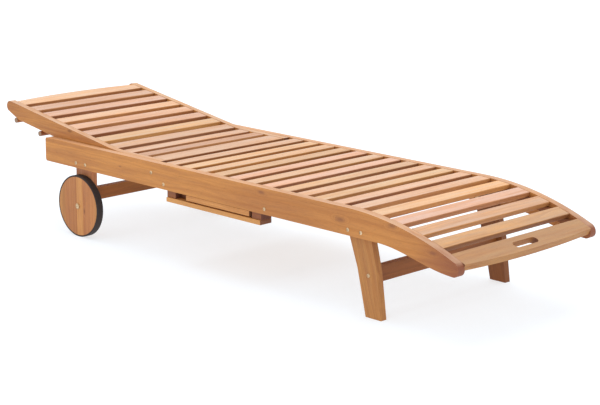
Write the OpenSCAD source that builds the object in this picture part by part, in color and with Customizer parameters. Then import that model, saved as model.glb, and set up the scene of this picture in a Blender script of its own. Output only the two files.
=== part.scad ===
// Reclining wooden sun lounger with two wheels, a propped backrest and a pull-out tray.
// X runs from head to foot, Y to the sitter's left, Z up; the origin is on the floor
// under the middle of the lounger.

/* [Overall] */
// Width over the two side rails
overall_w = 600; // [560:5:680]
// Height of the rails' top edge and of the flat lying surface
seat_top = 300; // [290:1:330]
// Distance from the hinge gap to the middle of the length
hinge_offset = 200; // [190:1:210]

/* [Side rails] */
// Thickness of a side rail
rail_t = 25; // [24:1:28]
// Depth of a side rail along its straight part
rail_h = 77; // [74:1:80]
// Distance from the hinge gap to the rail's head end
rail_head = 555; // [550:1:560]
// Distance from the hinge gap to where the foot starts to curve down
curve_start = 785; // [775:5:800]
// Radius of the foot's downward curve
curve_r = 980; // [940:10:1040]
// How far the rail's underside sweeps down towards the foot
foot_drop = 42; // [39:1:45]

/* [Slats] */
// Width of a slat
slat_w = 45; // [40:1:48]
// Gap between two slats
slat_gap = 25; // [22:1:28]
// Spacing of the slats along the foot's curve
curve_pitch = 73.3; // [71:0.1:75]
// Thickness of a slat
slat_t = 15; // [12:1:16]
// Thickness of the wide slat at the foot
foot_slat_t = 20; // [16:1:22]
// Length of the hand slot in the foot slat
hand_slot_l = 100; // [85:1:110]
// Width of the hand slot in the foot slat
hand_slot_w = 23; // [20:1:26]

/* [Backrest] */
// Thickness of a backrest stile
stile_t = 22; // [20:1:22]
// Depth of a backrest stile
stile_h = 50; // [48:1:50]
// Angle by which the upper backrest rises from the lower part
back_bend = 8.9; // [8.5:0.1:9.2]
// Diameter of the round rods under the backrest
rod_d = 17; // [15:1:17]

/* [Legs and wheels] */
// Thickness of a leg
leg_t = 22; // [20:1:24]
// Depth by which a leg is let into the side rail
leg_let_in = 6; // [4:1:8]
// Outer diameter of a wheel with its tyre
wheel_d = 200; // [190:1:204]
// Width of a wheel
wheel_w = 24; // [18:1:27]
// Radial thickness of the rubber tyre
tyre_t = 4.5; // [3.5:0.5:6]

/* [Tray] */
// Height of the slot that the tray slides in
tray_slot_h = 21; // [20:1:22]
// Thickness of a bearer board under the tray
bearer_t = 14; // [12:1:18]

/* [Hidden] */
$fn = 64;

// Positions along X are measured from the hinge gap, then moved by the hinge offset.
half_w = overall_w / 2;
inner_y = half_w - rail_t;
rail_bottom = seat_top - rail_h;
pitch = slat_w + slat_gap;
seat_count = 16;
flat_count = 12;

// Foot of the rail: a nose that is rounder above than below, tangent to the top curve,
// and the underside sweep that meets it
tip_x = 1187;
tip_top_r = 24;
tip_a = asin((tip_x - tip_top_r - curve_start) / (curve_r - tip_top_r));
tip_z = seat_top - curve_r + (curve_r - tip_top_r) * cos(tip_a);
tip_low_r = tip_z - rail_bottom + foot_drop;
sweep_start = 900;
sweep_end = 1180;
sweep_stop = tip_x - tip_low_r - 10;
corner_r = 8;

// Foot slat: its width at the ends, and how far its front edge bows out
foot_slat_w = 51;
foot_bow = 11;
hand_slot_s = 32;

// Backrest path: a straight part by the hinge, a bend, and a straight rising part
bend_start = 180;
bend_r = 600;
bend_end = bend_start + bend_r * back_bend * PI / 180;
hinge_slat_w = 66;
back_count = 9;
head_bow = 14;
back_s0 = slat_gap / 2 + hinge_slat_w + slat_gap;
head_s = back_s0 + back_count * pitch;
stile_gap = 1.5;
stile_y = inner_y - stile_gap;
stile_in_y = stile_y - stile_t;
nose_r = 18;
nose_s = head_s + slat_w + 8;
taper_s = 735;
stile_s0 = 10;

// Bolts
bolt_r = 3;
head_r = 5.5;
head_h = 3;
head_land = 0.8;
socket_r = 2.2;
socket_depth = 2;
nut_r = 7;
nut_h = 6;
barrel_r = 5;
barrel_y = 32;
bolt_reach = 40;
fit = 0.05;

// Legs
leg_out_y = inner_y + leg_let_in;
leg_in_y = leg_out_y - leg_t;
leg_top = rail_bottom + 26;
front_leg_z = [leg_top, 216, 133, 0];
front_leg_x0 = [777, 787, 817.5, 850];
front_leg_x1 = [861.5, 867.5, 888.5, 907];
front_bolts_x = [797, 845];
rear_leg_x = [-420, -342];
rear_leg_foot = 62;
rear_bolts_x = [-396, -349];
bolt_z = rail_bottom + 16;
stretcher_h = 45;
stretcher_t = 22;
front_stretcher_x = 858;
front_stretcher_z = 96;
rear_stretcher_x = -372;
rear_stretcher_z = 115;
rear_stretcher_h = 41;

// Wheels
axle_x = -384;
axle_r = 6;
wheel_z = wheel_d / 2;
wheel_gap = 1.2;
wheel_in_y = leg_out_y + wheel_gap;
disc_r = wheel_z - tyre_t;

// Cross rails between the side rails
cross_t = 22;
cross_h = 24;
hinge_rail_x = 32;
tray_rail_x = 471;
cross_z = bolt_z - cross_h / 2;

// Backrest pivot and the prop's pivot and rods, each as [x, z]
pivot = [-25, seat_top - 33.5];
pivot_r = 4;
prop_pivot = [-330, seat_top - 19];
rod_near = [-622, seat_top - 2];
rod_far = [-752, seat_top + 25];
rod_r = rod_d / 2;
pivot_rod_r = 8;
arm_y = [195, 215];
arm_r = 17;
rod_end_gap = 2;

// Notched racks that the prop's far rod drops into
rack_x = [-548, -446];
rack_t = 20;
notch_x = -484.6;
notch_pitch = 24;
notch_r = 9;
stop_x = [-180, -130];

// Tray between its spacer blocks, under the rails
spacer_x = [[44, 83], [415, 454]];
bearer_depth = 46;
spacer_depth = 42;
tray_gap = 0.8;
tray_top = rail_bottom - tray_gap;
tray_bottom = rail_bottom - tray_slot_h + tray_gap;
batten_w = 48;
edge_slat_x = [134, 408];
edge_slat_w = 26;
tray_slat_n = 9;
tray_slat_t = 15.5;
tray_slat_gap = 14;

// Point at distance s along the seat from the hinge gap and at depth d below its top
function seat_pt(s, d) =
    s <= curve_start ? [s, seat_top - d]
    : let (a = (s - curve_start) / curve_r * 180 / PI)
      [curve_start + (curve_r - d) * sin(a), seat_top - curve_r + (curve_r - d) * cos(a)];
function slat_s(i) = slat_gap / 2 + (min(i, flat_count) - 1) * pitch
    + max(0, i - flat_count) * curve_pitch;
function seat_angle(s) = s <= curve_start ? 0 : (s - curve_start) / curve_r * 180 / PI;

// The same along the backrest, from the hinge gap towards the head
function back_angle(s) =
    s <= bend_start ? 0 : s >= bend_end ? back_bend : (s - bend_start) / bend_r * 180 / PI;
function back_pt(s, d) =
    let (a = back_angle(s), run = max(0, s - bend_end))
    s <= bend_start ? [-s, seat_top - d]
    : [-bend_start - (bend_r + d) * sin(a) - run * cos(a),
       seat_top + bend_r - (bend_r + d) * cos(a) + run * sin(a)];

// Underside of the rail, sweeping down to the foot
function rail_under(x) =
    x <= sweep_start ? rail_bottom
    : rail_bottom - foot_drop * (1 - cos(180 * (x - sweep_start) / (sweep_end - sweep_start))) / 2;

function arc(c, r, from, to, n) =
    [for (i = [0:n]) let (a = from + (to - from) * i / n) c + r * [cos(a), sin(a)]];

// Extrudes an outline drawn as [x, z] from y0 to y1
module board(y0, y1) {
    translate([0, y1, 0]) rotate([90, 0, 0]) linear_extrude(y1 - y0) children();
}

// Draws its children on the right side and mirrored on the left side
module both_sides() {
    children();
    mirror([0, 1, 0]) children();
}

module shift() {
    translate([-hinge_offset, 0, 0]) children();
}

// Cylinder along Y from y0 to y1 at [x, z]
module rod_y(p, r, y0, y1) {
    translate([p[0], y0, p[1]]) rotate([-90, 0, 0]) cylinder(h = y1 - y0, r = r);
}

module rail_outline() {
    top_curve = [for (i = [0:14]) seat_pt(curve_start + i * 26, 0)];
    under = [for (i = [0:16]) let (x = sweep_stop - i * (sweep_stop - sweep_start) / 16)
        [x, rail_under(x)]];
    polygon(concat(
        arc([-rail_head + corner_r, rail_bottom + corner_r], corner_r, 270, 180, 6),
        arc([-rail_head + corner_r, seat_top - corner_r], corner_r, 180, 90, 6),
        top_curve,
        arc([tip_x - tip_top_r, tip_z], tip_top_r, 90 - tip_a, 0, 8),
        arc([tip_x - tip_low_r, tip_z], tip_low_r, -11, -90, 8),
        under
    ));
}

// Raked front leg, tapering towards its foot
module front_leg_outline() {
    polygon(concat(
        [for (i = [0:3]) [front_leg_x0[i], front_leg_z[i]]],
        [for (i = [3:-1:0]) [front_leg_x1[i], front_leg_z[i]]]
    ));
}

// Short rear leg with a rounded lower end around the axle
module rear_leg_outline() {
    leg_r = (rear_leg_x[1] - rear_leg_x[0]) / 2;
    polygon(concat(
        [[rear_leg_x[1], leg_top], [rear_leg_x[0], leg_top]],
        arc([rear_leg_x[0] + leg_r, rear_leg_foot + leg_r], leg_r, 180, 360, 16)
    ));
}

// Right side rail (at -Y), with housings for the legs and bores for its bolts
module side_rail() {
    color("peru") difference() {
        board(-half_w, -inner_y) rail_outline();
        board(-leg_out_y, -inner_y + 1) front_leg_outline();
        board(-leg_out_y, -inner_y + 1) rear_leg_outline();
        for (x = concat(front_bolts_x, rear_bolts_x, [hinge_rail_x, tray_rail_x]))
            rod_y([x, bolt_z], bolt_r, -half_w - 1, -inner_y + 1);
        rod_y(pivot, pivot_r, -half_w - 1, -inner_y + 1);
    }
}

module front_leg() {
    color("peru") difference() {
        board(-leg_out_y, -leg_in_y) front_leg_outline();
        for (x = front_bolts_x) rod_y([x, bolt_z], bolt_r, -leg_out_y - 1, -leg_in_y + 1);
        rod_y([front_stretcher_x, front_stretcher_z + stretcher_h / 2], bolt_r,
            -leg_out_y - 1, -leg_in_y + 1);
    }
}

module rear_leg() {
    color("peru") difference() {
        board(-leg_out_y, -leg_in_y) rear_leg_outline();
        for (x = rear_bolts_x) rod_y([x, bolt_z], bolt_r, -leg_out_y - 1, -leg_in_y + 1);
        rod_y([rear_stretcher_x, rear_stretcher_z + rear_stretcher_h / 2], bolt_r,
            -leg_out_y - 1, -leg_in_y + 1);
        rod_y([axle_x, wheel_z], axle_r, -leg_out_y - 1, -leg_in_y + 1);
    }
}

// Bar across the lounger, bored at both ends for a bolt and its barrel nut
module cross_bar(x, z, y_end, t, h) {
    difference() {
        translate([x - t / 2, -y_end, z]) cube([t, 2 * y_end, h]);
        both_sides() {
            rod_y([x, z + h / 2], bolt_r, -y_end - 1, -y_end + bolt_reach);
            translate([x, -y_end + barrel_y, z - 1]) cylinder(h = h + 2, r = barrel_r);
        }
    }
}

// Barrel nut that fills the bar's cross bore, with the bolt through its middle
module barrel_nut(x, z, y_end, h) {
    difference() {
        translate([x, -y_end + barrel_y, z + 1]) cylinder(h = h - 2, r = barrel_r);
        rod_y([x, z + h / 2], bolt_r, -y_end, -y_end + bolt_reach);
    }
}

module front_stretcher() {
    color("saddlebrown")
        cross_bar(front_stretcher_x, front_stretcher_z, leg_in_y, stretcher_t, stretcher_h);
}

module rear_stretcher() {
    color("saddlebrown")
        cross_bar(rear_stretcher_x, rear_stretcher_z, leg_in_y, stretcher_t, rear_stretcher_h);
}

module hinge_cross_rail() {
    color("saddlebrown") cross_bar(hinge_rail_x, cross_z, inner_y, cross_t, cross_h);
}

module tray_cross_rail() {
    color("saddlebrown") cross_bar(tray_rail_x, cross_z, inner_y, cross_t, cross_h);
}

// Strips along the rails' inner faces that the seat slats are screwed to
ledger_w = 18;
ledger_h = 18;
ledger_s = [20, 1144];
module slat_ledgers() {
    stations = concat([ledger_s[0]], [for (i = [0:12])
        curve_start + i * (ledger_s[1] - curve_start) / 12]);
    color("saddlebrown") both_sides() board(-inner_y, -inner_y + ledger_w) polygon(concat(
        [for (s = stations) seat_pt(s, slat_t)],
        [for (i = [len(stations) - 1:-1:0]) seat_pt(stations[i], slat_t + ledger_h)]
    ));
}

module prop_racks() {
    color("saddlebrown") both_sides() difference() {
        translate([rack_x[0], -inner_y, rail_bottom + 1])
            cube([rack_x[1] - rack_x[0], rack_t, leg_top - rail_bottom - 0.5]);
        for (i = [-2:1]) rod_y([notch_x + i * notch_pitch, leg_top + 0.5], notch_r,
            -inner_y - 1, -inner_y + rack_t + 1);
    }
}

// Blocks that the lowered backrest lies on
module back_stops() {
    color("saddlebrown") both_sides()
        translate([stop_x[0], -inner_y, rail_bottom + 1])
            cube([stop_x[1] - stop_x[0], rack_t + 4, leg_top - rail_bottom - 0.5]);
}

module tray_spacers() {
    color("sienna") both_sides() for (x = spacer_x)
        translate([x[0], -half_w + 4, rail_bottom - tray_slot_h])
            cube([x[1] - x[0], spacer_depth, tray_slot_h]);
}

module tray_bearers() {
    color("burlywood") both_sides()
        translate([spacer_x[0][0], -half_w, rail_bottom - tray_slot_h - bearer_t])
            cube([spacer_x[1][1] - spacer_x[0][0], bearer_depth, bearer_t]);
}

// Slat whose top lies on the seat path, from s to s + w
module on_seat(s) {
    p = seat_pt(s, 0);
    translate([p[0], 0, p[1]]) rotate([0, seat_angle(s), 0]) children();
}

module seat_slat(i) {
    color("burlywood") on_seat(slat_s(i) + slat_w / 2)
        translate([-slat_w / 2, -inner_y, -slat_t]) cube([slat_w, 2 * inner_y, slat_t]);
}

// Wide slat at the foot, with a bowed front edge and a round-ended hand slot
module foot_slat() {
    s0 = slat_s(seat_count + 1);
    bow_r = (inner_y * inner_y + foot_bow * foot_bow) / (2 * foot_bow);
    color("tan") on_seat(s0 + foot_slat_w / 2)
        translate([-foot_slat_w / 2, 0, -foot_slat_t]) linear_extrude(foot_slat_t) difference() {
            union() {
                translate([0, -inner_y]) square([foot_slat_w, 2 * inner_y]);
                intersection() {
                    translate([foot_slat_w - 1, -inner_y]) square([foot_bow + 2, 2 * inner_y]);
                    translate([foot_slat_w + foot_bow - bow_r, 0]) circle(r = bow_r, $fn = 512);
                }
            }
            translate([hand_slot_s, 0]) slot_outline(hand_slot_l, hand_slot_w);
        }
}

module slot_outline(l, w) {
    square([w, l - w], center = true);
    for (side = [-1, 1]) translate([0, side * (l - w) / 2]) circle(d = w);
}

// Slat whose top lies on the backrest path
module on_back(s) {
    p = back_pt(s, 0);
    translate([p[0], 0, p[1]]) rotate([0, back_angle(s), 0]) children();
}

module back_slat(i) {
    s = back_s0 + slat_w / 2 + (i - 2) * pitch;
    color("burlywood") on_back(s)
        translate([-slat_w / 2, -stile_in_y, -slat_t]) cube([slat_w, 2 * stile_in_y, slat_t]);
}

module hinge_slat() {
    color("burlywood") on_back(slat_gap / 2 + hinge_slat_w / 2)
        translate([-hinge_slat_w / 2, -stile_in_y, -slat_t])
            cube([hinge_slat_w, 2 * stile_in_y, slat_t]);
}

// Slat at the head, with a bowed outer edge
module head_slat() {
    bow_r = (stile_in_y * stile_in_y + head_bow * head_bow) / (2 * head_bow);
    color("burlywood") on_back(head_s + slat_w / 2)
        translate([-slat_w / 2, 0, -slat_t]) linear_extrude(slat_t) {
            translate([0, -stile_in_y]) square([slat_w, 2 * stile_in_y]);
            intersection() {
                translate([-head_bow - 1, -stile_in_y]) square([head_bow + 2, 2 * stile_in_y]);
                translate([bow_r - head_bow, 0]) circle(r = bow_r, $fn = 512);
            }
        }
}

// Right backrest stile: lies flat by the hinge, bends, and ends in a round nose
module stile_outline() {
    top = [for (s = [stile_s0, 60, bend_start, 200, 220, 240, 260, bend_end, head_s + slat_w])
        back_pt(s, 0)];
    under = [for (s = [taper_s, bend_end, 260, 240, 220, 200, bend_start, 60, 30])
        back_pt(s, stile_h)];
    nose = back_pt(nose_s, nose_r);
    polygon(concat(
        top,
        arc(nose, nose_r, 90 - back_bend, 270 - back_bend - 4, 10),
        under,
        [back_pt(stile_s0, stile_h - 20)]
    ));
}

module back_stile() {
    color("peru") difference() {
        board(-stile_y, -stile_in_y) stile_outline();
        rod_y(pivot, pivot_r + fit, -stile_y - 1, -stile_in_y + 1);
        rod_y(prop_pivot, pivot_rod_r, -stile_y + 6, -stile_in_y + 1);
    }
}

// Rod across the backrest that the prop turns on
module prop_pivot_rod() {
    color("sienna") rod_y(prop_pivot, pivot_rod_r, -stile_y + 6, stile_y - 6);
}

// Round-ended bar from the prop's pivot to its near rod, bending a little to its far rod
module arm_outline() {
    inner = rod_near - prop_pivot;
    outer = rod_far - rod_near;
    a = atan2(inner[1], inner[0]);
    b = atan2(outer[1], outer[0]);
    mid = (a + b) / 2 - 90;
    polygon(concat(
        arc(prop_pivot, arm_r, a + 90, a + 270, 16),
        [rod_near + arm_r / cos((a - b) / 2) * [cos(mid), sin(mid)]],
        arc(rod_far, arm_r, b - 90, b + 90, 16),
        arc(rod_near, arm_r, b + 90, a + 90, 2)
    ));
}

// Two bent arms of the prop
module prop_arms() {
    color("peru") both_sides() difference() {
        board(-arm_y[1], -arm_y[0]) arm_outline();
        rod_y(prop_pivot, pivot_rod_r + fit, -arm_y[1] - 1, -arm_y[0] + 1);
        for (p = [rod_near, rod_far]) rod_y(p, rod_r, -arm_y[1] - 1, -arm_y[0] + 1);
    }
}

module prop_rods() {
    color("sienna") for (p = [rod_near, rod_far])
        rod_y(p, rod_r, -inner_y + rod_end_gap, inner_y - rod_end_gap);
}

batten_x = [spacer_x[0][1] + 1.5, spacer_x[1][0] - 1.5 - batten_w];
module tray_battens() {
    color("sienna") for (x = batten_x)
        translate([x, -half_w + edge_slat_w, tray_bottom])
            cube([batten_w, 2 * (half_w - edge_slat_w), tray_top - tray_bottom]);
}

// Boards between the battens, thinner than them and flush with their tops, and a longer
// board along each open edge
module tray_slats() {
    x0 = batten_x[0] + batten_w;
    x1 = batten_x[1];
    run = 2 * (half_w - edge_slat_w) + tray_slat_gap;
    step = run / tray_slat_n;
    color("burlywood") translate([0, 0, tray_top - tray_slat_t]) {
        for (i = [0:tray_slat_n - 1])
            translate([x0, -run / 2 + i * step + tray_slat_gap / 2, 0])
                cube([x1 - x0, step - tray_slat_gap, tray_slat_t]);
        both_sides() translate([edge_slat_x[0], -half_w, 0])
            cube([edge_slat_x[1] - edge_slat_x[0], edge_slat_w, tray_slat_t]);
    }
}

// Wheel disc glued up from planks, bored for its axle bolt
module wheel_disc() {
    color("peru") difference() {
        rod_y([axle_x, wheel_z], disc_r, -wheel_in_y - wheel_w, -wheel_in_y);
        rod_y([axle_x, wheel_z], axle_r + fit, -wheel_in_y - wheel_w - 1, -wheel_in_y + 1);
    }
}

module tyre() {
    color("dimgray") difference() {
        rod_y([axle_x, wheel_z], wheel_z, -wheel_in_y - wheel_w, -wheel_in_y);
        rod_y([axle_x, wheel_z], disc_r, -wheel_in_y - wheel_w - 1, -wheel_in_y + 1);
    }
}

// Domed bolt head with a hex socket, standing out from y towards -Y
module button_head(p, y, r, h) {
    cap = h - head_land;
    ball_r = (r * r + cap * cap) / (2 * cap);
    translate([p[0], y, p[1]]) rotate([90, 0, 0]) difference() {
        intersection() {
            cylinder(h = h, r = r);
            translate([0, 0, h - ball_r]) sphere(r = ball_r);
        }
        translate([0, 0, h - socket_depth])
            cylinder(h = socket_depth + 1, r = socket_r, $fn = 6);
    }
}

// Headed bolt from the outside, reaching from y_head inwards
module bolt(p, y_head, length, r = bolt_r) {
    button_head(p, y_head, head_r, head_h);
    rod_y(p, r, y_head, y_head + length);
}

module frame_bolts() {
    leg_bolt_l = half_w - leg_in_y;
    color("silver") both_sides() {
        for (x = concat(front_bolts_x, rear_bolts_x))
            bolt([x, bolt_z], -half_w, leg_bolt_l + nut_h);
        for (x = [hinge_rail_x, tray_rail_x])
            bolt([x, bolt_z], -half_w, rail_t + bolt_reach);
        bolt([front_stretcher_x, front_stretcher_z + stretcher_h / 2], -leg_out_y,
            leg_t + bolt_reach);
        rod_y([rear_stretcher_x, rear_stretcher_z + rear_stretcher_h / 2], bolt_r, -leg_out_y,
            -leg_in_y + bolt_reach);
    }
}

module hex_nut(p, y0, hole, r = nut_r) {
    difference() {
        translate([p[0], y0, p[1]]) rotate([-90, 0, 0]) cylinder(h = nut_h, r = r, $fn = 6);
        rod_y(p, hole, y0 - 1, y0 + nut_h + 1);
    }
}

// Nuts on the leg bolts, and barrel nuts in the cross rails and stretchers
module frame_nuts() {
    color("silver") both_sides() {
        for (x = concat(front_bolts_x, rear_bolts_x))
            hex_nut([x, bolt_z], -leg_in_y, bolt_r);
        for (x = [hinge_rail_x, tray_rail_x]) barrel_nut(x, cross_z, inner_y, cross_h);
        barrel_nut(front_stretcher_x, front_stretcher_z, leg_in_y, stretcher_h);
        barrel_nut(rear_stretcher_x, rear_stretcher_z, leg_in_y, rear_stretcher_h);
    }
}

// Screws that go up through the ledgers into the seat slats
screw_r = 2;
screw_head_r = 4;
screw_bite = 8;
module slat_screws() {
    color("silver") both_sides() for (i = [1:seat_count])
        on_seat(slat_s(i) + slat_w / 2)
            translate([0, -inner_y + ledger_w / 2, -slat_t - ledger_h]) {
                cylinder(h = ledger_h + screw_bite, r = screw_r);
                translate([0, 0, -2]) cylinder(h = 2, r = screw_head_r);
            }
}

// Bolts through the rear legs that the wheels turn on
axle_head_r = 7.5;
axle_head_h = 4;
axle_nut_r = 10;
axle_end = 1;
module axle_bolts() {
    y_out = -wheel_in_y - wheel_w - 2 * axle_end;
    color("silver") both_sides() {
        button_head([axle_x, wheel_z], y_out, axle_head_r, axle_head_h);
        rod_y([axle_x, wheel_z], axle_r, y_out, -leg_in_y + nut_h);
        hex_nut([axle_x, wheel_z], -leg_in_y, axle_r, axle_nut_r);
    }
}

// Bolts and nuts that the backrest turns on
module pivot_bolts() {
    color("silver") both_sides() {
        bolt(pivot, -half_w, half_w - stile_in_y + 1 + nut_h, pivot_r);
        hex_nut(pivot, -stile_in_y + 1, pivot_r);
    }
}

// Washers between wheel and leg, outside the wheel, and between stile and rail
washer_r = 9;
module washer(p, hole, y0, t) {
    difference() {
        rod_y(p, washer_r, y0, y0 + t);
        rod_y(p, hole, y0 - 1, y0 + t + 1);
    }
}

module washers() {
    color("silver") both_sides() {
        washer([axle_x, wheel_z], axle_r, -leg_out_y - 1, 1);
        washer([axle_x, wheel_z], axle_r, -wheel_in_y - wheel_w - 2 * axle_end, 1.5);
        washer(pivot, pivot_r, -inner_y, stile_gap - 0.2);
    }
}

shift() side_rail();  // side_rail_right
shift() mirror([0, 1, 0]) side_rail();  // side_rail_left
shift() front_leg();  // front_leg_right
shift() mirror([0, 1, 0]) front_leg();  // front_leg_left
shift() rear_leg();  // rear_leg_right
shift() mirror([0, 1, 0]) rear_leg();  // rear_leg_left
shift() front_stretcher();
shift() rear_stretcher();
shift() slat_ledgers();
shift() hinge_cross_rail();
shift() tray_cross_rail();
shift() prop_racks();
shift() back_stops();
shift() tray_spacers();
shift() tray_bearers();
shift() foot_slat();
shift() frame_bolts();
shift() frame_nuts();
shift() slat_screws();
shift() axle_bolts();
shift() pivot_bolts();
shift() washers();
shift() back_stile();  // back_stile_right
shift() mirror([0, 1, 0]) back_stile();  // back_stile_left
shift() hinge_slat();
shift() head_slat();
shift() prop_pivot_rod();
shift() prop_arms();
shift() prop_rods();
shift() tray_battens();
shift() tray_slats();
shift() wheel_disc();  // wheel_disc_right
shift() mirror([0, 1, 0]) wheel_disc();  // wheel_disc_left
shift() tyre();  // tyre_right
shift() mirror([0, 1, 0]) tyre();  // tyre_left
function slat_name(stem, i) = str(stem, i < 10 ? "0" : "", i);
for (i = [1:seat_count])
    shift() seat_slat(i);
for (i = [2:back_count + 1])
    shift() back_slat(i);
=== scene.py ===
import math
import random

import bpy
from mathutils import Matrix, Vector


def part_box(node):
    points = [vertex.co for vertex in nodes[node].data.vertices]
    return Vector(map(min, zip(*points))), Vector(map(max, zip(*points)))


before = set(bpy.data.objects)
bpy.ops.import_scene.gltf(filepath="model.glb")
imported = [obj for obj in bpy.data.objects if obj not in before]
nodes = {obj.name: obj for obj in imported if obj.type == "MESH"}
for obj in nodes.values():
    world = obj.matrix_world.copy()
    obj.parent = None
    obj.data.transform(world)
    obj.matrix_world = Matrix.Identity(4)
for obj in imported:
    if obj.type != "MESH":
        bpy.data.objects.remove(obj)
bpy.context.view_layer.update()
random.seed(7)
print("frame loaded:", len(nodes), "pieces")


def toLinear(hexColour):
    # sRGB hex to the linear values that shaders take
    channels = [int(hexColour[i:i + 2], 16) / 255 for i in (1, 3, 5)]
    return [c / 12.92 if c <= 0.04045 else ((c + 0.055) / 1.055) ** 2.4 for c in channels] + [1.0]


def addNode(tree, kind, settings=None, links=None):
    # settings are the node's own options, or inputs by name or number; links are inputs too
    node = tree.nodes.new(kind)
    for key, value in (settings or {}).items():
        if isinstance(key, str) and hasattr(node, key):
            setattr(node, key, value)
        else:
            node.inputs[key].default_value = value
    for key, source in (links or {}).items():
        tree.links.new(source, node.inputs[key])
    return node


def emptyMaterial(name):
    material = bpy.data.materials.new(name)
    material.use_nodes = True
    material.node_tree.nodes.clear()
    return material, material.node_tree


# oiled acacia: golden and rosy boards with mauve-brown streaks; one recipe, a dictionary per board kind
wood = {
    "streakWidth": 0.011,    # m across the grain, the brown and mauve streaks
    "fibreWidth": 0.0022,    # m, bundles of fibres
    "poreWidth": 0.0006,     # m, open pores; real ones are half that, drawn coarser so they show
    "stretch": 16,           # how much longer than wide a streak is
    "ringSpacing": 0.0075,   # m between growth rings
    "patchSize": 0.22,       # m, slow change of tone along a board
    "gold": "#D19048",       # the two tones that boards range between
    "rose": "#C4814E",
    "heart": "#8E5238",      # mauve-brown heartwood
    "late": "#A4602C",       # dark line at the end of a growth ring
    "endGrain": "#6C4235",
    "knot": "#5A3524",
    "topLightToneGold": "#CCAC8A",   # upper faces' pale tone: painted top light and sheen
    "topLightToneRose": "#CCA796",
    "paintedTopLight": 0.0,           # share of painted top light and sheen on faces that look up
    "sideShadeTone": "#74402A",   # red-brown of painted shade on side and lower faces
    "sideShadeDark": (0.0, 0.0),  # least and most of it among the boards
    "sheenStreakWidth": 0.016,      # m across the grain, streaks where the painted top light is weaker
    "knotDepth": 0.6,        # shares of each dark colour where it is strongest
    "ringDepth": 0.38,
    "streakDepth": 0.38,
    "heartShare": 0.34,
    "endShare": 0.85,
    "poreDepth": 0.35,
    "fibreShade": (0.80, 1.17),  # darkest and palest fibre
    "knotLength": 2.6,       # how much longer than wide the grain round a knot is
    "knotPush": 3.2,         # rings that a knot pushes aside
    "bendPerMetre": 9.0,     # slow bends of the fibres
    "bendDepth": 0.022,      # m that they take a fibre off its line
    "heartWidth": 0.05,      # m across the rings' slow hills
    "heartRise": 0.09,       # m of rings that a hill cuts through
    "heartSqueeze": 0.012,   # the hills are this much flatter along the grain
    "slowSqueeze": 0.35,     # and so are bends and patches
    "roughness": 0.48,       # satin of a thin coat of oil
    "roughSpread": (-0.08, 0.14),
    "poreHeight": 0.0004,    # m
    "shear": 0.0,            # slope of the grain against the board's axis
}

seedStep = (3.1, 7.3, 5.7)   # m between the places in the pattern that two boards are cut from

# a board's axes: along the grain, across it, through the thickness
grainOrder = {"X": ("X", "Y", "Z"), "Y": ("Y", "X", "Z"), "Z": ("Z", "X", "Y")}


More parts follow.
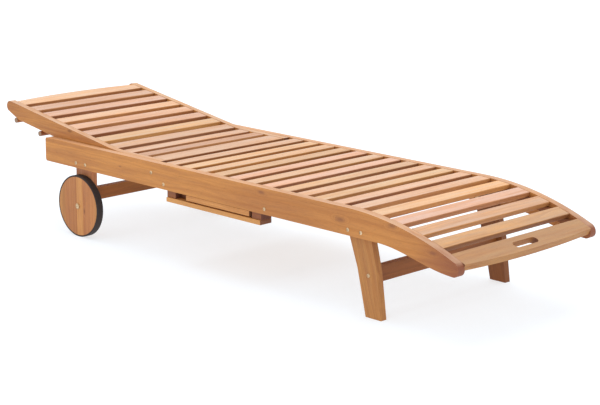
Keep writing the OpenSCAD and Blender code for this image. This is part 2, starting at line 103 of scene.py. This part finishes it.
def makeWood(name, grainAxis, look):
    look = {**wood, **look}
    material, tree = emptyMaterial(name)
    place = addNode(tree, "ShaderNodeTexCoord").outputs["Object"]

    # each piece's seed, tone and shade come in its object colour
    info = addNode(tree, "ShaderNodeObjectInfo")
    own = addNode(tree, "ShaderNodeSeparateColor", {}, {"Color": info.outputs["Color"]})
    seed, tone, shade = own.outputs

    # the board's own axes: along the grain first
    xyz = addNode(tree, "ShaderNodeSeparateXYZ", {}, {0: place})
    along, across, depth = (xyz.outputs[axis] for axis in grainOrder[grainAxis])
    if look["shear"]:
        across = addNode(tree, "ShaderNodeMath", {"operation": "MULTIPLY_ADD", 1: look["shear"]},
                         {0: along, 2: across}).outputs[0]

    # boards that share one node each get a seed of their own from where they lie
    if "boards" in look:
        axis, start, pitch = look["boards"]
        count = addNode(tree, "ShaderNodeMath", {"operation": "SUBTRACT", 1: start}, {0: xyz.outputs[axis]})
        count = addNode(tree, "ShaderNodeMath", {"operation": "DIVIDE", 1: pitch}, {0: count.outputs[0]})
        index = addNode(tree, "ShaderNodeMath", {"operation": "FLOOR"}, {0: count.outputs[0]})
        chance = addNode(tree, "ShaderNodeTexWhiteNoise", {"noise_dimensions": "1D"}, {"W": index.outputs[0]})
        seed = addNode(tree, "ShaderNodeMath", {"operation": "ADD"},
                       {0: seed, 1: chance.outputs["Value"]}).outputs[0]
        chances = addNode(tree, "ShaderNodeSeparateColor", {}, {"Color": chance.outputs["Color"]})
        tone = addNode(tree, "ShaderNodeMath", {"operation": "MULTIPLY_ADD", 1: look["boardTones"]},
                       {0: chances.outputs[1], 2: tone}).outputs[0]
        shade = addNode(tree, "ShaderNodeMapRange", {"To Min": look["boardDark"], "To Max": 1.08},
                        {"Value": chances.outputs[2]}).outputs[0]

    shift = addNode(tree, "ShaderNodeCombineXYZ", {}, {0: seed, 1: seed, 2: seed})
    shift = addNode(tree, "ShaderNodeVectorMath", {"operation": "MULTIPLY", 1: seedStep},
                    {0: shift.outputs[0]})
    board = addNode(tree, "ShaderNodeCombineXYZ", {}, {0: along, 1: across, 2: depth})
    board = addNode(tree, "ShaderNodeVectorMath", {"operation": "ADD"},
                    {0: board.outputs[0], 1: shift.outputs[0]})

    # knots push the grain aside and darken; each is (x, y, z, radius) in metres
    bend = None
    for x, y, z, radius in look.get("knots", []):
        off = addNode(tree, "ShaderNodeVectorMath", {"operation": "SUBTRACT", 1: (x, y, z)}, {0: place})
        size = [radius * (look["knotLength"] if axis == grainAxis else 1.0) for axis in "XYZ"]
        off = addNode(tree, "ShaderNodeVectorMath", {"operation": "DIVIDE", 1: size}, {0: off.outputs[0]})
        off = addNode(tree, "ShaderNodeVectorMath", {"operation": "LENGTH"}, {0: off.outputs[0]})
        near = addNode(tree, "ShaderNodeMapRange",
                       {"interpolation_type": "SMOOTHERSTEP", "From Min": 1.0, "From Max": 0.0},
                       {"Value": off.outputs["Value"]})
        bend = near.outputs[0] if bend is None else addNode(
            tree, "ShaderNodeMath", {"operation": "MAXIMUM"}, {0: bend, 1: near.outputs[0]}).outputs[0]

    # the fibres wander a little across and through the board
    slow = addNode(tree, "ShaderNodeVectorMath", {"operation": "MULTIPLY", 1: (look["slowSqueeze"], 1, 1)},
                   {0: board.outputs[0]})
    wander = addNode(tree, "ShaderNodeTexNoise", {"Scale": look["bendPerMetre"], "Detail": 2.0},
                     {"Vector": slow.outputs[0]})
    most = look["bendDepth"]
    wander = addNode(tree, "ShaderNodeVectorMath",
                     {"operation": "MULTIPLY_ADD", 1: (0, most, most), 2: (0, -most / 2, -most / 2)},
                     {0: wander.outputs["Color"]})
    board = addNode(tree, "ShaderNodeVectorMath", {"operation": "ADD"},
                    {0: board.outputs[0], 1: wander.outputs[0]})
    fibre = addNode(tree, "ShaderNodeVectorMath", {"operation": "MULTIPLY", 1: (1 / look["stretch"], 1, 1)},
                    {0: board.outputs[0]})

    # growth rings round a heart that lies outside the board
    heart = addNode(tree, "ShaderNodeVectorMath", {"operation": "MULTIPLY", 1: (look["heartSqueeze"], 1, 1)},
                    {0: board.outputs[0]})
    heart = addNode(tree, "ShaderNodeTexNoise", {"Scale": 1 / look["heartWidth"], "Detail": 1.0},
                    {"Vector": heart.outputs[0]})
    ring = addNode(tree, "ShaderNodeMath",
                   {"operation": "MULTIPLY", 1: look["heartRise"] / look["ringSpacing"]},
                   {0: heart.outputs["Fac"]})
    if bend is not None:
        ring = addNode(tree, "ShaderNodeMath", {"operation": "MULTIPLY_ADD", 1: look["knotPush"]},
                       {0: bend, 2: ring.outputs[0]})
    ring = addNode(tree, "ShaderNodeMath", {"operation": "FRACT"}, {0: ring.outputs[0]})
    # each ring: dark edge of the last one, pale early wood, then its own dark line
    ringRamp = addNode(tree, "ShaderNodeValToRGB", {}, {"Fac": ring.outputs[0]})
    for position, value in ((0.0, 0.35), (0.12, 0.0), (0.55, 0.12), (0.93, 1.0)):
        stop = ringRamp.color_ramp.elements.new(position)
        stop.color = (value, value, value, 1)
    ringRamp.color_ramp.elements.remove(ringRamp.color_ramp.elements[0])

    # streaks, fibres and open pores run along the grain; patches are slow
    streak = addNode(tree, "ShaderNodeTexNoise",
                     {"Scale": 1 / look["streakWidth"], "Detail": 3.0, "Roughness": 0.55},
                     {"Vector": fibre.outputs[0]})
    streak = addNode(tree, "ShaderNodeMapRange", {"From Min": 0.40, "From Max": 0.68},
                     {"Value": streak.outputs["Fac"]})
    fine = addNode(tree, "ShaderNodeTexNoise",
                   {"Scale": 1 / look["fibreWidth"], "Detail": 4.0, "Roughness": 0.6},
                   {"Vector": fibre.outputs[0]})
    pore = addNode(tree, "ShaderNodeTexNoise", {"Scale": 1 / look["poreWidth"], "Detail": 2.0},
                   {"Vector": fibre.outputs[0]})
    pore = addNode(tree, "ShaderNodeMapRange", {"From Min": 0.60, "From Max": 0.72},
                   {"Value": pore.outputs["Fac"]})
    patch = addNode(tree, "ShaderNodeTexNoise", {"Scale": 1 / look["patchSize"], "Detail": 2.0},
                    {"Vector": slow.outputs[0]})
    patch = addNode(tree, "ShaderNodeMapRange", {"From Min": 0.44, "From Max": 0.70},
                    {"Value": patch.outputs["Fac"]})

    # tone of the whole board, then heartwood patches and streaks, rings and fibres
    colour = addNode(tree, "ShaderNodeMix",
                     {"data_type": "RGBA", 6: toLinear(look["gold"]), 7: toLinear(look["rose"])},
                     {0: tone}).outputs[2]
    darks = ("heart", "heartShare", patch), ("heart", "streakDepth", streak), ("late", "ringDepth", ringRamp)
    for darkTone, amount, where in darks:
        share = addNode(tree, "ShaderNodeMath", {"operation": "MULTIPLY", 1: look[amount]},
                        {0: where.outputs[0]})
        colour = addNode(tree, "ShaderNodeMix", {"data_type": "RGBA", 7: toLinear(look[darkTone])},
                         {0: share.outputs[0], 6: colour}).outputs[2]
    if bend is not None:
        share = addNode(tree, "ShaderNodeMath", {"operation": "POWER", 1: 3.0}, {0: bend})
        share = addNode(tree, "ShaderNodeMath", {"operation": "MULTIPLY", 1: look["knotDepth"]},
                        {0: share.outputs[0]})
        colour = addNode(tree, "ShaderNodeMix", {"data_type": "RGBA", 7: toLinear(look["knot"])},
                         {0: share.outputs[0], 6: colour}).outputs[2]

    # end grain drinks more oil and goes dark; faces that look up are paler with painted top light and sheen
    normal = addNode(tree, "ShaderNodeNewGeometry").outputs["True Normal"]
    facing = addNode(tree, "ShaderNodeSeparateXYZ", {}, {0: normal})
    end = addNode(tree, "ShaderNodeMath", {"operation": "ABSOLUTE"}, {0: facing.outputs[grainAxis]})
    end = addNode(tree, "ShaderNodeMapRange",
                  {"From Min": 0.15, "From Max": 0.95, "To Max": look["endShare"]},
                  {"Value": end.outputs[0]})
    colour = addNode(tree, "ShaderNodeMix", {"data_type": "RGBA", 7: toLinear(look["endGrain"])},
                     {0: end.outputs[0], 6: colour}).outputs[2]
    # darker towards one end, in the fibres' pattern
    if "darkTowardsEnd" in look:
        start, stop, amount = look["darkTowardsEnd"]
        darkTowardsEnd = addNode(tree, "ShaderNodeMapRange", {"From Min": start, "From Max": stop, "To Max": amount},
                       {"Value": along})
        darkTowardsEnd = addNode(tree, "ShaderNodeMath", {"operation": "MULTIPLY"},
                       {0: darkTowardsEnd.outputs[0], 1: fine.outputs["Fac"]})
        colour = addNode(tree, "ShaderNodeMix", {"data_type": "RGBA", 7: toLinear(look["heart"])},
                         {0: darkTowardsEnd.outputs[0], 6: colour}).outputs[2]
    # painted top light and sheen: faces that look up are mixed towards a pale tone, in streaks along the
    # grain
    if look["paintedTopLight"]:
        up = addNode(tree, "ShaderNodeMapRange",
                     {"From Min": 0.5, "From Max": 0.97, "To Max": look["paintedTopLight"]},
                     {"Value": facing.outputs["Z"]})
        sheenStreak = addNode(tree, "ShaderNodeTexNoise", {"Scale": 1 / look["sheenStreakWidth"], "Detail": 2.0},
                       {"Vector": fibre.outputs[0]})
        sheenStreak = addNode(tree, "ShaderNodeMapRange",
                       {"From Min": 0.35, "From Max": 0.68, "To Min": 1.15, "To Max": 0.45},
                       {"Value": sheenStreak.outputs["Fac"]})
        up = addNode(tree, "ShaderNodeMath", {"operation": "MULTIPLY"},
                     {0: up.outputs[0], 1: sheenStreak.outputs[0]})
        # dark boards get less painted top light
        keep = addNode(tree, "ShaderNodeMapRange", {"From Min": 0.6, "From Max": 0.95, "To Min": 0.2},
                       {"Value": shade})
        up = addNode(tree, "ShaderNodeMath", {"operation": "MULTIPLY"},
                     {0: up.outputs[0], 1: keep.outputs[0]})
        topLightTone = addNode(tree, "ShaderNodeMix",
                       {"data_type": "RGBA", 6: toLinear(look["topLightToneGold"]), 7: toLinear(look["topLightToneRose"])},
                       {0: tone})
        colour = addNode(tree, "ShaderNodeMix", {"data_type": "RGBA"},
                         {0: up.outputs[0], 6: colour, 7: topLightTone.outputs[2]}).outputs[2]

    # painted shade on side and lower faces, deeper on some boards than others
    if look["sideShadeDark"] != (0.0, 0.0):
        chance = addNode(tree, "ShaderNodeTexWhiteNoise", {"noise_dimensions": "1D"}, {"W": seed})
        chance = addNode(tree, "ShaderNodeMapRange",
                         {"To Min": look["sideShadeDark"][0], "To Max": look["sideShadeDark"][1]},
                         {"Value": chance.outputs["Value"]})
        sideShade = addNode(tree, "ShaderNodeMapRange", {"From Min": 0.9, "From Max": 0.3, "To Min": 0.0},
                       {"Value": facing.outputs["Z"], "To Max": chance.outputs[0]})
        colour = addNode(tree, "ShaderNodeMix", {"data_type": "RGBA", 7: toLinear(look["sideShadeTone"])},
                         {0: sideShade.outputs[0], 6: colour}).outputs[2]

    # fibres and pores on top of everything, and the board's own shade
    grey = addNode(tree, "ShaderNodeMapRange",
                   {"To Min": look["fibreShade"][0], "To Max": look["fibreShade"][1]},
                   {"Value": fine.outputs["Fac"]})
    grey = addNode(tree, "ShaderNodeMath", {"operation": "MULTIPLY"}, {0: grey.outputs[0], 1: shade})
    dark = addNode(tree, "ShaderNodeMath", {"operation": "MULTIPLY_ADD", 1: -look["poreDepth"], 2: 1.0},
                   {0: pore.outputs[0]})
    grey = addNode(tree, "ShaderNodeMath", {"operation": "MULTIPLY"},
                   {0: grey.outputs[0], 1: dark.outputs[0]})
    colour = addNode(tree, "ShaderNodeVectorMath", {"operation": "SCALE"},
                     {0: colour, "Scale": grey.outputs[0]}).outputs[0]

    smoothest, roughest = (look["roughness"] + change for change in look["roughSpread"])
    rough = addNode(tree, "ShaderNodeMapRange", {"To Min": smoothest, "To Max": roughest},
                    {"Value": fine.outputs["Fac"]})
    height = addNode(tree, "ShaderNodeMath", {"operation": "MULTIPLY_ADD", 1: -1.0},
                     {0: pore.outputs[0], 2: fine.outputs["Fac"]})
    bump = addNode(tree, "ShaderNodeBump", {"Strength": 0.35, "Distance": look["poreHeight"]},
                   {"Height": height.outputs[0]})
    shader = addNode(tree, "ShaderNodeBsdfPrincipled", {"IOR": 1.5, "Specular IOR Level": 0.25},
                     {"Base Color": colour, "Roughness": rough.outputs[0], "Normal": bump.outputs[0]})
    addNode(tree, "ShaderNodeOutputMaterial", {}, {"Surface": shader.outputs[0]})
    return material


rightRail = Vector(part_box("side_rail_right")[0])
leftRail = Vector(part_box("side_rail_left")[1])
wheelLow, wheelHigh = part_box("wheel_disc_right")
trayLow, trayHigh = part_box("tray_slats")
trayBoardCount = 9
wheelPlank = (wheelHigh.x - wheelLow.x) / 6.3
firstPlank = -8  # where the count of a wheel's planks starts, which sets their tones

# planed on all sides, oiled once: golden sides, painted shade on some boards' sides and painted top light
# making the tops pale and rosy, so the bed reads as separate boards
slatWood = makeWood("planedAcaciaSlat", "Y", {
    "gold": "#E2A45C", "rose": "#D69662", "paintedTopLight": 0.8, "roughness": 0.45, "streakDepth": 0.34,
    "sideShadeDark": (0.0, 0.75),
})
# the wide board at the foot is thicker stock, browner than the slats, with less painted top light on top
footWood = makeWood("planedAcaciaFootBoard", "Y", {
    "gold": "#BC884A", "rose": "#B07C54", "topLightToneGold": "#B08C64", "topLightToneRose": "#A98A70", "paintedTopLight": 0.6,
    "heartShare": 0.15,
})
# straight-grained rail with a few small knots: long streaks lead the eye to the foot, whose nose is darker;
# the darkening towards the nose is given as where it starts and is full, and how strong it is; a knot is its
# place and radius
railWood = makeWood("oiledAcaciaRail", "X", {
    "knots": [
        (-0.374, rightRail.y, 0.262, 0.006), (0.258, rightRail.y, 0.286, 0.014), (0.568, rightRail.y, 0.262,
                                                                                  0.018),
        (0.758, rightRail.y, 0.279, 0.016), (0.90, rightRail.y, 0.232, 0.012),
        (-0.15, leftRail.y, 0.255, 0.012), (0.41, leftRail.y, 0.270, 0.016),
    ],
    # the rail's upper faces get painted top light and sheen
    "knot": "#7A4A38", "darkTowardsEnd": (0.84, 0.98, 1.7), "paintedTopLight": 0.5, "ringSpacing": 0.013, "ringDepth": 0.3,
    "streakWidth": 0.015,
})
# cut to its bend from a wider board, a few small knots: reads warmer than the rail below it; its upper faces
# get painted top light
stileWood = makeWood("oiledAcaciaStile", "X", {
    "gold": "#C98A45", "rose": "#BE7E4C", "paintedTopLight": 0.6,
    "knots": [(-0.66, -0.2735, 0.33, 0.012), (-0.82, 0.2735, 0.34, 0.014)],
})
# grain follows the leg's rake; the rose is chosen for the far leg's painted shade
legWood = makeWood("oiledAcaciaLeg", "Z",
                   {"gold": "#BE8B50", "rose": "#BA7038", "shear": 0.27, "heartShare": 0.35})
# upright grain, short and thick, paler than the bar between the two
rearLegWood = makeWood("oiledAcaciaRearLeg", "Z", {"gold": "#D29450", "rose": "#C48458"})
# cross members under the bed: darker colours that paint in the shade they stand in
shadedCrossWood = makeWood("oiledAcaciaCrossBarShaded", "Y", {"gold": "#935B26", "rose": "#844C28", "heart": "#64351C"})
# rough sawn blocks that nobody sees from above: dark colours that paint in the shade under the slats, little
# figure
shadedInnerWood = makeWood("oiledAcaciaBlockShaded", "X", {"gold": "#8F5B38", "rose": "#7A4A35", "heartShare": 0.6})
# turned from straight offcuts: smooth round sides, ends left raw and grey
rodWood = makeWood("turnedAcaciaRod", "Y", {"gold": "#B87A48", "rose": "#A8683C", "endGrain": "#9A7E66"})
# planed thin and straight-grained, so it slides well: plain and pale
bearerWood = makeWood("planedAcaciaBearer", "X",
                      {"gold": "#D29858", "rose": "#C68850", "ringDepth": 0.2, "streakDepth": 0.2})
# same boards cut across the lounger, with ordinary figure
battenWood = makeWood("planedAcaciaBatten", "Y", {})
# short boards cut from one plank: near alike in tone, golden
trayWood = makeWood("planedAcaciaTrayBoard", "X", {
    "gold": "#DFA055", "rose": "#D3935A", "boardTones": 0.4, "boardDark": 0.95,
    "boards": ("Y", trayLow.y, (trayHigh.y - trayLow.y) / trayBoardCount),
})
# glued up from upright planks of unlike tone, so the disc shows stripes, the reddest ones towards the head
wheelWood = makeWood("gluedAcaciaDisc", "Z", {
    "gold": "#E2A45E", "rose": "#AA6442", "boardTones": 1.0, "boardDark": 0.84, "heartShare": 0.2,
    "boards": ("X", wheelLow.x - firstPlank * wheelPlank, wheelPlank),
    "knots": [(-0.551, -0.3062, 0.088, 0.009), (-0.61, 0.3062, 0.12, 0.010)],
})

woodOf = {
    "side_rail_right": railWood, "side_rail_left": railWood,
    "back_stile_right": stileWood, "back_stile_left": stileWood,
    "front_leg_right": legWood, "front_leg_left": legWood,
    "rear_leg_right": rearLegWood, "rear_leg_left": rearLegWood,
    "front_stretcher": shadedCrossWood, "rear_stretcher": shadedCrossWood,
    "hinge_cross_rail": shadedCrossWood, "tray_cross_rail": shadedCrossWood,
    "prop_pivot_rod": rodWood, "prop_rods": rodWood,
    "slat_ledgers": shadedInnerWood, "prop_racks": shadedInnerWood, "back_stops": shadedInnerWood,
    "tray_spacers": shadedInnerWood, "prop_arms": stileWood,
    "tray_bearers": bearerWood, "tray_battens": battenWood, "tray_slats": trayWood,
    "wheel_disc_right": wheelWood, "wheel_disc_left": wheelWood,
}
slatNames = sorted(n for n in nodes if n.startswith(("seat_slat_", "back_slat_")))
slatNames += ["foot_slat", "hinge_slat", "head_slat"]
for name in slatNames:
    woodOf[name] = slatWood
woodOf["foot_slat"] = footWood

# how a board looks beside its neighbours: seed, tone (0 golden, 1 rosy), shade
boardRange = {"tone": (0.0, 1.0), "shade": (0.93, 1.08)}
# boards that stand out from their neighbours, and the far front leg's painted shade: tone and shade
oddBoardsAndPaintedShade = {
    "back_slat_02": (0.8, 0.82), "back_slat_10": (0.7, 0.93),
    "seat_slat_04": (0.1, 0.92), "seat_slat_13": (0.1, 1.12),
    "seat_slat_15": (0.5, 0.92), "seat_slat_16": (0.2, 0.84),
    "side_rail_right": (0.3, 1.0), "side_rail_left": (0.3, 1.0), "back_stile_right": (0.3, 1.0),
    # the far front leg's low shade is painted shade from where it stands under the bed
    "front_leg_right": (0.3, 0.98), "front_leg_left": (1.0, 0.50), "rear_stretcher": (0.0, 1.12),
    "wheel_disc_right": (0.0, 1.0), "wheel_disc_left": (0.0, 1.0), "tray_bearers": (0.2, 1.05),
}
for name in sorted(woodOf):
    piece = nodes[name]
    own = random.random(), random.uniform(*boardRange["tone"]), random.uniform(*boardRange["shade"])
    piece.color = (own[0], *oddBoardsAndPaintedShade.get(name, own[1:]), 1)
    piece.data.materials.clear()
    piece.data.materials.append(woodOf[name])
print("wood on", len(woodOf), "pieces")

# grit and spot sizes are in metres
steel = {"colour": "#E2C9A4", "dull": "#A88A68", "grit": 0.0008, "spot": 0.004, "roughness": (0.30, 0.53)}


def makeZincSteel(name, look):
    # zinc plated by the barrel: pale, faintly yellow, with a fine uneven sheen
    material, tree = emptyMaterial(name)
    place = addNode(tree, "ShaderNodeTexCoord").outputs["Object"]
    spot = addNode(tree, "ShaderNodeTexNoise", {"Scale": 1 / look["spot"], "Detail": 3.0}, {"Vector": place})
    grit = addNode(tree, "ShaderNodeTexNoise", {"Scale": 1 / look["grit"], "Detail": 2.0}, {"Vector": place})
    share = addNode(tree, "ShaderNodeMapRange", {"From Min": 0.42, "From Max": 0.68},
                    {"Value": spot.outputs["Fac"]})
    colour = addNode(tree, "ShaderNodeMix",
                     {"data_type": "RGBA", 6: toLinear(look["colour"]), 7: toLinear(look["dull"])},
                     {0: share.outputs[0]})
    rough = addNode(tree, "ShaderNodeMapRange",
                    {"To Min": look["roughness"][0], "To Max": look["roughness"][1]},
                    {"Value": spot.outputs["Fac"]})
    bump = addNode(tree, "ShaderNodeBump", {"Strength": 0.2, "Distance": 0.0001},
                   {"Height": grit.outputs["Fac"]})
    shader = addNode(tree, "ShaderNodeBsdfPrincipled", {"Metallic": 1.0},
                     {"Base Color": colour.outputs[2], "Roughness": rough.outputs[0],
                      "Normal": bump.outputs[0]})
    addNode(tree, "ShaderNodeOutputMaterial", {}, {"Surface": shader.outputs[0]})
    return material


# grain and smear sizes are in metres
rubber = {
    "colour": "#251A18", "dust": "#5A463E", "dustShare": 0.16,
    "grain": 0.0012, "smear": 0.03, "roughness": (0.6, 0.85),
}


def makeTyreRubber(name, look):
    # moulded solid rubber: brown-black and matt, with dust caught in its grain
    material, tree = emptyMaterial(name)
    place = addNode(tree, "ShaderNodeTexCoord").outputs["Object"]
    grain = addNode(tree, "ShaderNodeTexNoise", {"Scale": 1 / look["grain"], "Detail": 3.0},
                    {"Vector": place})
    smear = addNode(tree, "ShaderNodeTexNoise", {"Scale": 1 / look["smear"], "Detail": 4.0},
                    {"Vector": place})
    share = addNode(tree, "ShaderNodeMapRange",
                    {"From Min": 0.40, "From Max": 0.75, "To Max": look["dustShare"]},
                    {"Value": smear.outputs["Fac"]})
    colour = addNode(tree, "ShaderNodeMix",
                     {"data_type": "RGBA", 6: toLinear(look["colour"]), 7: toLinear(look["dust"])},
                     {0: share.outputs[0]})
    rough = addNode(tree, "ShaderNodeMapRange",
                    {"To Min": look["roughness"][0], "To Max": look["roughness"][1]},
                    {"Value": smear.outputs["Fac"]})
    bump = addNode(tree, "ShaderNodeBump", {"Strength": 0.4, "Distance": 0.0003},
                   {"Height": grain.outputs["Fac"]})
    shader = addNode(tree, "ShaderNodeBsdfPrincipled", {"IOR": 1.52},
                     {"Base Color": colour.outputs[2], "Roughness": rough.outputs[0],
                      "Normal": bump.outputs[0]})
    addNode(tree, "ShaderNodeOutputMaterial", {}, {"Surface": shader.outputs[0]})
    return material


zincSteel = makeZincSteel("zincPlatedSteel", steel)
tyreRubber = makeTyreRubber("mouldedTyreRubber", rubber)
materialOf = {"tyre_right": tyreRubber, "tyre_left": tyreRubber}
for name in ("frame_bolts", "frame_nuts", "slat_screws", "axle_bolts", "pivot_bolts", "washers"):
    materialOf[name] = zincSteel
for name, material in materialOf.items():
    nodes[name].data.materials.clear()
    nodes[name].data.materials.append(material)
print("steel and rubber on", len(materialOf), "pieces")

# edge radius in metres: the boards that a hand meets are rounder than the ones below
edgeRadius = {"slat": 0.0030, "rail": 0.0040, "leg": 0.0030, "inner": 0.0015, "tyre": 0.0012, "wheel": 0.0010}
fineSteps, coarseSteps = 3, 2  # steps across a rounded edge; the small ones need fewer
edge = {"weld": 0.00002, "flatAngle": 0.5, "cornerAngle": 38.0}  # m and degrees


def smoothTree():
    # smooth shading as a modifier, so that the pieces' own meshes stay as they are
    tree = bpy.data.node_groups.new("shadeSmooth", "GeometryNodeTree")
    tree.interface.new_socket("Geometry", in_out="INPUT", socket_type="NodeSocketGeometry")
    tree.interface.new_socket("Geometry", in_out="OUTPUT", socket_type="NodeSocketGeometry")
    start = addNode(tree, "NodeGroupInput")
    smooth = addNode(tree, "GeometryNodeSetShadeSmooth", {}, {"Geometry": start.outputs[0]})
    addNode(tree, "NodeGroupOutput", {}, {0: smooth.outputs[0]})
    return tree


smoothing = smoothTree()


def roundEdges(name, radius, segments):
    # flat faces are joined first, so that only real corners are rounded
    piece = nodes[name]
    weld = piece.modifiers.new("weld", "WELD")
    weld.merge_threshold = edge["weld"]
    flat = piece.modifiers.new("joinFlats", "DECIMATE")
    flat.decimate_type = "DISSOLVE"
    flat.angle_limit = math.radians(edge["flatAngle"])
    bevel = piece.modifiers.new("roundEdges", "BEVEL")
    bevel.width = radius
    bevel.segments = segments
    bevel.limit_method = "ANGLE"
    bevel.angle_limit = math.radians(edge["cornerAngle"])
    bevel.use_clamp_overlap = True
    shade = piece.modifiers.new("shadeSmooth", "NODES")
    shade.node_group = smoothing
    piece.modifiers.new("flatFaces", "WEIGHTED_NORMAL").keep_sharp = True


roundedPieces = {
    "slat": slatNames,
    "rail": ["side_rail_right", "side_rail_left", "back_stile_right", "back_stile_left"],
    "leg": ["front_leg_right", "front_leg_left", "rear_leg_right", "rear_leg_left", "front_stretcher",
            "rear_stretcher", "prop_arms"],
    "inner": ["tray_bearers", "tray_battens", "tray_slats", "tray_spacers", "hinge_cross_rail",
              "tray_cross_rail", "slat_ledgers", "back_stops"],
    "tyre": ["tyre_right", "tyre_left"],
    "wheel": ["wheel_disc_right", "wheel_disc_left"],
}
for kind, names in roundedPieces.items():
    for name in names:
        roundEdges(name, edgeRadius[kind], coarseSteps if kind in ("inner", "tyre", "wheel") else fineSteps)
print("edges rounded")

# translucent sheet lit from below: even and white, shadows stay faint; flecks are counted per metre
floor = {"size": 60.0, "colour": "#9AA4AE", "fleck": "#959FA9", "flecks": 3.0, "roughness": 0.9, "glow": 0.68}
mesh = bpy.data.meshes.new("studioFloor")
half = floor["size"] / 2
mesh.from_pydata([(-half, -half, 0), (half, -half, 0), (half, half, 0), (-half, half, 0)], [], [(0, 1, 2, 3)])
floorPiece = bpy.data.objects.new("studioFloor", mesh)
bpy.context.scene.collection.objects.link(floorPiece)
paper, tree = emptyMaterial("backLitStudioSweep")
place = addNode(tree, "ShaderNodeTexCoord").outputs["Object"]
fleck = addNode(tree, "ShaderNodeTexNoise", {"Scale": floor["flecks"], "Detail": 4.0}, {"Vector": place})
colour = addNode(tree, "ShaderNodeMix",
                 {"data_type": "RGBA", 6: toLinear(floor["colour"]), 7: toLinear(floor["fleck"])},
                 {0: fleck.outputs["Fac"]})
shader = addNode(tree, "ShaderNodeBsdfPrincipled",
                 {"Roughness": floor["roughness"], "Specular IOR Level": 0.1, "Emission Color": (1, 1, 1, 1),
                  "Emission Strength": floor["glow"]},
                 {"Base Color": colour.outputs[2]})
addNode(tree, "ShaderNodeOutputMaterial", {}, {"Surface": shader.outputs[0]})
mesh.materials.append(paper)

# strengths, the width of the overhead light in degrees, and the side that it comes from
light = {"world": 1.0, "sun": 1.62, "softness": 55.0, "from": (-0.45, 0.25, 1.0)}
world = bpy.data.worlds.new("studioWorld")
world.use_nodes = True
world.node_tree.nodes["Background"].inputs["Color"].default_value = (1, 1, 1, 1)
world.node_tree.nodes["Background"].inputs["Strength"].default_value = light["world"]
bpy.context.scene.world = world
lamp = bpy.data.lights.new("softOverhead", "SUN")
lamp.energy = light["sun"]
lamp.angle = math.radians(light["softness"])
lampPiece = bpy.data.objects.new("softOverhead", lamp)
bpy.context.scene.collection.objects.link(lampPiece)
lampPiece.rotation_euler = Vector(light["from"]).to_track_quat("Z", "Y").to_euler()

# place and far limit in metres, angles in degrees, lens and film width in millimetres
camera = {
    "place": (3.628, -3.532, 1.370), "yaw": 134.84, "down": 13.41, "roll": 0.36,
    "lens": 101.23, "film": 36, "farLimit": 100,
}
data = bpy.data.cameras.new("camera")
data.lens = camera["lens"]
data.sensor_width = camera["film"]
data.clip_end = camera["farLimit"]
cameraPiece = bpy.data.objects.new("camera", data)
bpy.context.scene.collection.objects.link(cameraPiece)
yaw, down, roll = (math.radians(camera[k]) for k in ("yaw", "down", "roll"))
ahead = Vector((math.cos(yaw) * math.cos(down), math.sin(yaw) * math.cos(down), -math.sin(down)))
right = Vector((math.sin(yaw), -math.cos(yaw), 0))
up = right.cross(ahead)
right, up = math.cos(roll) * right + math.sin(roll) * up, math.cos(roll) * up - math.sin(roll) * right
turn = Matrix((right, up, -ahead)).transposed().to_4x4()
cameraPiece.matrix_world = Matrix.Translation(camera["place"]) @ turn
bpy.context.scene.camera = cameraPiece
bpy.context.scene.view_settings.view_transform = "Standard"
print("floor, light and camera set")
